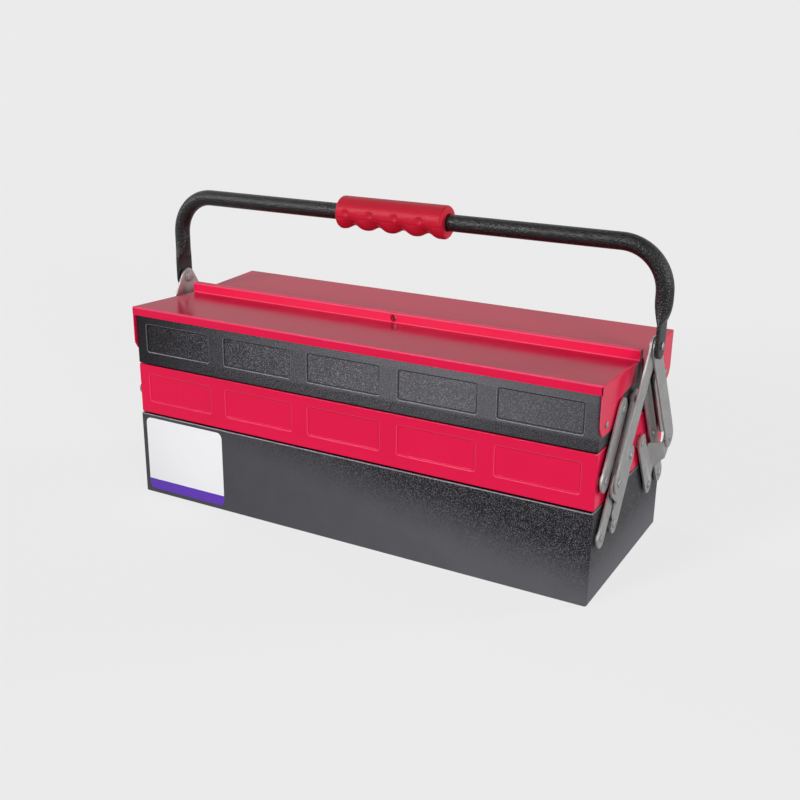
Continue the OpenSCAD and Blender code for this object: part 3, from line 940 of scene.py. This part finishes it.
def handle_rings():
    """Sections of the tube: a circle that flattens, with a crease where the press bit,
    to a slot of the same girth.  Each is a rounded power curve whose exponent and half
    widths follow the height."""
    points, angle = handle_path()
    height = np.where(angle > 0, 1e3, points[:, 1])
    share = np.clip((height - flat_top) / (round_from - flat_top), 0, 1)
    ease = (1 - (1 - share) ** flatten_rate)[:, None]
    below = np.clip((apex_z - height) / flat_half, 0, 1)[:, None]
    half_width = flat_half * np.sqrt(1 - below**2) * (1 - ease) + tube_r * ease
    half_thick = plate_t / 2 * (1 - ease) + tube_r * ease
    power = slot_power * (1 - ease) + ease
    t = arc(0, 360, 36)[:-1]
    out = np.sign(np.cos(t)) * np.abs(np.cos(t)) ** power * half_thick
    across = np.sign(np.sin(t)) * np.abs(np.sin(t)) ** power * np.maximum(half_width, 0.4)
    x = points[:, 0:1] + out * np.cos(angle)[:, None]
    z = points[:, 1:2] + out * np.sin(angle)[:, None]
    return np.stack([x, across, z], axis=-1)


def powder_black():
    """Textured black powder coat: glossy grains that break a lamp's streak into glints."""
    coat = Finish("powder_black", 0.28, Specular_IOR_Level=0.5)
    grains = coat.noise(1.8, 1.5, roughness=0.6)
    drift = coat.noise(24.0, 2.0)
    coat.set("Base Color", coat.blend(grains.over(0.35, 0.65), *powder_tones))
    coat.set("Roughness", drift * 0.12 + 0.20)
    coat.bump(grains.over(0.30, 0.70), 0.30)
    return coat.material


half_handle = handle_rings()
mirrored = half_handle[-2::-1] * [-1, 1, 1]
tube = skin("carrying_handle", [np.concatenate([half_handle, mirrored])])
dress(tube, "handle", "handle_black", powder_black(), "handle_tube")


# ---- The grip -----------------------------------------------------------------------------
# A soft red moulding, parted along its front where it snaps over the tube.  Four finger
# hollows cross its underside, and each has a small dimple above it on the front.

grip_length = 125.0
grip_r = 17.0
grip_shift = -2.4
finger_count = 4
finger_pitch = 0.92 * grip_length / finger_count
finger_depth = 4.4
finger_narrowing = 2.6
end_round = 3.5
hollow_shift = -1.6
slit_at = math.radians(-170)
slit_depth = 1.2
slit_width = 0.45
dimple_at = math.radians(174)
dimple_depth = 1.7
dimple_shift = -4.4
dimple_half_length = 4.6
dimple_half_width = 4.2
bore_lip = 0.8
grip_tones = (0.42, 0.008, 0.024), (0.50, 0.012, 0.032)


def grip_rings():
    """Radius over angle and length: a cylinder with rounded ends, less a wave of
    hollows that fades up both flanks, less round dimples and a narrow slit."""
    body = np.linspace(end_round, grip_length - end_round, 150)
    left = end_round * (1 - np.cos(arc(0, 90, 8)))
    x = np.concatenate([left[:-1], body, grip_length - left[::-1][1:]])
    from_end = np.minimum(x, grip_length - x)
    shoulder = np.clip(1 - from_end / end_round, 0, 1)
    drop = end_round * (1 - np.sqrt(1 - shoulder**2))
    t = arc(0, 360, 144)[:-1]
    turn, along = np.meshgrid(t, x - grip_length / 2)
    place = along - hollow_shift
    offset = (place / finger_pitch + finger_count / 2) % 1 - 0.5
    half_row = finger_count * finger_pitch / 2
    inside = np.abs(place) < half_row + finger_pitch * 0.02
    wave = np.where(inside, np.cos(math.pi * offset) ** finger_narrowing, 0)
    below = np.clip((-np.sin(turn) + 0.12) / 0.9, 0, 1)
    hollow = finger_depth * wave * below**2 * (3 - 2 * below)
    before = (finger_count - 1) / 2
    centre = (np.round(place / finger_pitch + before) - before) * finger_pitch
    round_turn = (turn - dimple_at + math.pi) % (2 * math.pi) - math.pi
    reach = np.hypot(
        (place - centre - dimple_shift) / dimple_half_length,
        round_turn * grip_r / dimple_half_width,
    )
    bowl = dimple_depth * np.clip(1 - reach**2, 0, 1) ** 1.2
    dimple = np.where(np.abs(centre) < half_row, bowl, 0)
    slit_turn = (turn - slit_at + math.pi) % (2 * math.pi) - math.pi
    slit = slit_depth * np.exp(-((slit_turn * grip_r / slit_width) ** 2))
    radius = grip_r - drop[:, None] - hollow - dimple - slit
    outside = [along + grip_shift, radius * np.cos(turn), bar_z + radius * np.sin(turn)]
    bore_r = tube_r + 0.15
    mouth_r, mouth_x, bore_x = bore_r + bore_lip, grip_length / 2, grip_length / 2 - bore_lip
    path = (mouth_r, mouth_x), (bore_r, bore_x), (bore_r, -bore_x), (mouth_r, -mouth_x)
    bore_rings = [
        np.stack(
            [np.full_like(t, p + grip_shift), r * np.cos(t), bar_z + r * np.sin(t)], axis=-1
        )
        for r, p in path
    ]
    return np.concatenate([np.stack(outside, axis=-1), np.stack(bore_rings)])


def grip_moulding():
    """Satin red moulding with a fine leathery grain."""
    moulding = Finish("grip_red", 0.40, Specular_IOR_Level=0.32)
    grain = moulding.noise(0.8, 3.0)
    drift = moulding.noise(18.0, 2.0)
    moulding.set("Base Color", moulding.blend(drift, *grip_tones))
    moulding.set("Roughness", grain * 0.16 + 0.32)
    moulding.bump(grain, 0.04)
    return moulding.material


grip = skin("hand_grip", [grip_rings()], wrap=True)
dress(grip, "handle", "grip_red", grip_moulding(), "handle_grip")


# ---- The sales label ----------------------------------------------------------------------
# A blank gloss sticker on the bottom box's front, white with a violet band at its foot.
# It is a vinyl film with rounded corners, stuck flat on the paint.

label_low = (-258.0, 5.0)
label_high = (-153.0, 90.5)
label_band = 12.0
label_r = 6.5
label_film = 0.15
label_violet = (0.115, 0.045, 0.40)
label_white = (0.78, 0.78, 0.80)


def label_film_rings():
    """Outline of the film as rounded rectangles at its back, its edge and its face."""
    (x0, z0), (x1, z1) = label_low, label_high
    rings = []
    for inset, depth in ((0.0, 0.0), (0.0, label_film * 0.6), (0.12, label_film)):
        corners = []
        for cx, cz, start in (
            (x1 - label_r, z0 + label_r, -90),
            (x1 - label_r, z1 - label_r, 0),
            (x0 + label_r, z1 - label_r, 90),
            (x0 + label_r, z0 + label_r, 180),
        ):
            t = arc(start, start + 90, 8)
            r = label_r - inset
            corners.append(np.stack([cx + r * np.cos(t), cz + r * np.sin(t)], axis=-1))
        outline = np.concatenate(corners)
        y = np.full(len(outline), -half_depth - depth)
        rings.append(np.stack([outline[:, 0], y, outline[:, 1]], axis=-1))
    return np.stack(rings)


def label_print():
    """White vinyl with a violet band along its foot."""
    film = Finish("label_vinyl", 0.5, Specular_IOR_Level=0.2)
    band_z = label_low[1] + label_band
    white_part = film.axis("Z").over(band_z, band_z + 0.3)
    grain = film.noise(3.0, 2.0)
    film.set("Base Color", film.blend(white_part, label_violet, label_white))
    film.set("Roughness", grain * 0.08 + 0.48)
    return film.material


label = skin("blank_label", [label_film_rings()])
label.data.materials.append(label_print())
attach(label, "box")


# ---- The studio ---------------------------------------------------------------------------
# A pale floor and surroundings, soft suns from the front, both sides and the right rear,
# and the camera of the photograph.  In gloss, softboxes and a toned sky show instead.

white = (1.0, 1.0, 1.0)
pale = 0.83
fill_light = 0.15
suns = (  # name, azimuth, elevation, share of full brightness, softness
    ("key", -24, 15, 0.70, 16),
    ("right", 55, 8, 0.60, 18),
    ("right_rear", 132, 9, 0.56, 18),
    ("left", -100, 9, 0.38, 18),
)
gloss_pale = 0.45
sky_tones = (  # sine of the elevation, tone
    (0.0, gloss_pale),
    (0.25, 0.50),
    (0.40, 0.78),
    (0.55, 0.80),
    (0.75, 0.55),
    (0.90, 0.45),
    (1.0, 0.15),
)
sky_top = 2.0
softboxes = (  # azimuth, elevation, radius, strength
    (-29, 23, 10, 9.0),
    (76, 12, 16, 4.0),
    (132, 14, 12, 1.5),
    (-60, 12, 10, 4.0),
)


def towards(azimuth, elevation):
    """The direction from the box at an azimuth, 0 in front, and an elevation."""
    a, e = math.radians(azimuth), math.radians(elevation)
    return math.sin(a) * math.cos(e), -math.cos(a) * math.cos(e), math.sin(e)


def by_ray(nodes, seen, glossy):
    """One value for camera rays, one for glossy rays and 0 for the rest."""
    path = nodes.node("ShaderNodeLightPath")
    camera_ray, glossy_ray = (
        Field(nodes, path.outputs[f"Is {kind} Ray"]) for kind in ("Camera", "Glossy")
    )
    return camera_ray * seen + glossy_ray * glossy


def studio_world():
    """Surroundings that look pale but give only a low even light.  In gloss they change
    with height, like the panels and gaps of a studio's ceiling, and hold the softboxes."""
    world = bpy.data.worlds.new("studio")
    bpy.context.scene.world = world
    world.use_nodes = True
    world.node_tree.nodes.clear()
    sky = Nodes(world.node_tree)
    direction = sky.node("ShaderNodeTexCoord").outputs["Generated"]
    apart = sky.node("ShaderNodeSeparateXYZ", None, {0: direction})
    tones = sky.node("ShaderNodeFloatCurve", None, {"Value": apart.outputs["Z"]})
    curve = tones.mapping.curves[0]
    for place, tone in sky_tones[1:-1]:
        curve.points.new(place, tone / sky_top)
    for point, (place, tone) in zip(curve.points, sky_tones):
        point.location = (place, tone / sky_top)
    tones.mapping.update()
    gloss = Field(sky, tones.outputs[0]) * sky_top
    for azimuth, elevation, radius, strength in softboxes:
        facing = sky.node(
            "ShaderNodeVectorMath",
            {"operation": "DOT_PRODUCT"},
            {0: direction, 1: towards(azimuth, elevation)},
        )
        edge, core = (math.cos(math.radians(radius * k)) for k in (1.3, 0.7))
        gloss = gloss + Field(sky, facing.outputs["Value"]).over(edge, core) * strength
    shown, light = (
        sky.node("ShaderNodeBackground", None, {"Color": white, "Strength": strength})
        for strength in (by_ray(sky, pale, gloss), fill_light)
    )
    choose = sky.node(
        "ShaderNodeMixShader",
        None,
        {0: by_ray(sky, 1.0, 1.0), 1: light.outputs[0], 2: shown.outputs[0]},
    )
    sky.node("ShaderNodeOutputWorld", None, {"Surface": choose.outputs[0]})


floor_reach = 40.0
floor_tone = 0.14
floor_light = fill_light + sum(
    share * math.sin(math.radians(elevation)) for _, _, elevation, share, _ in suns
)


def studio_floor():
    """A flat floor: its own tone, which shadows darken, and a glow, which lifts it to
    the surroundings' tone where it is seen and in gloss."""
    mesh = bpy.data.meshes.new("floor")
    r = floor_reach
    mesh.from_pydata([(-r, -r, 0), (r, -r, 0), (r, r, 0), (-r, r, 0)], [], [(0, 1, 2, 3)])
    floor = bpy.data.objects.new("floor", mesh)
    bpy.context.scene.collection.objects.link(floor)
    material = bpy.data.materials.new("floor")
    material.use_nodes = True
    material.node_tree.nodes.clear()
    paper = Nodes(material.node_tree)
    matt = paper.node("ShaderNodeBsdfDiffuse", None, {"Color": (floor_tone,) * 3})
    lit = floor_tone * floor_light
    lift = by_ray(paper, pale - lit, gloss_pale - lit)
    glow = paper.node("ShaderNodeEmission", None, {"Color": white, "Strength": lift})
    both = paper.node("ShaderNodeAddShader", None, {0: matt.outputs[0], 1: glow.outputs[0]})
    paper.node("ShaderNodeOutputMaterial", None, {"Surface": both.outputs[0]})
    mesh.materials.append(material)


def aim(obj, azimuth, elevation, roll=0.0):
    """Turns a lamp or the camera to look at the box from an azimuth and elevation."""
    a, r = math.radians(azimuth), math.radians(roll)
    back = np.array(towards(azimuth, elevation))
    right = np.array([math.cos(a), math.sin(a), 0.0])
    up = np.cross(back, right)
    matrix = np.eye(4)
    matrix[:3, 0] = right * math.cos(r) + up * math.sin(r)
    matrix[:3, 1] = up * math.cos(r) - right * math.sin(r)
    matrix[:3, 2] = back
    obj.matrix_world = matrix.T.tolist()
    obj.rotation_mode = "XYZ"


def sun(name, azimuth, elevation, share, softness):
    """A sun that gives a facing white surface the share of full brightness.  Gloss shows
    the softboxes in its stead."""
    lamp = bpy.data.lights.new(name, "SUN")
    lamp.energy = share * math.pi
    lamp.angle = math.radians(softness)
    obj = bpy.data.objects.new(name, lamp)
    bpy.context.scene.collection.objects.link(obj)
    aim(obj, azimuth, elevation)
    obj.visible_glossy = False


studio_world()
studio_floor()
for lamp in suns:
    sun(*lamp)

focal_px = 1084.6
frame_px = 800
sensor = 36.0
camera_azimuth, camera_elevation, camera_roll = 28.98, 19.01, 0.68
camera_place = (0.5424, -0.9671, 0.5065)
camera_data = bpy.data.cameras.new("camera")
camera_data.sensor_width = sensor
camera_data.lens = focal_px * sensor / frame_px
camera = bpy.data.objects.new("camera", camera_data)
bpy.context.scene.collection.objects.link(camera)
aim(camera, camera_azimuth, camera_elevation, camera_roll)
camera.location = camera_place
bpy.context.scene.camera = camera
bpy.context.scene.view_settings.view_transform = "Standard"
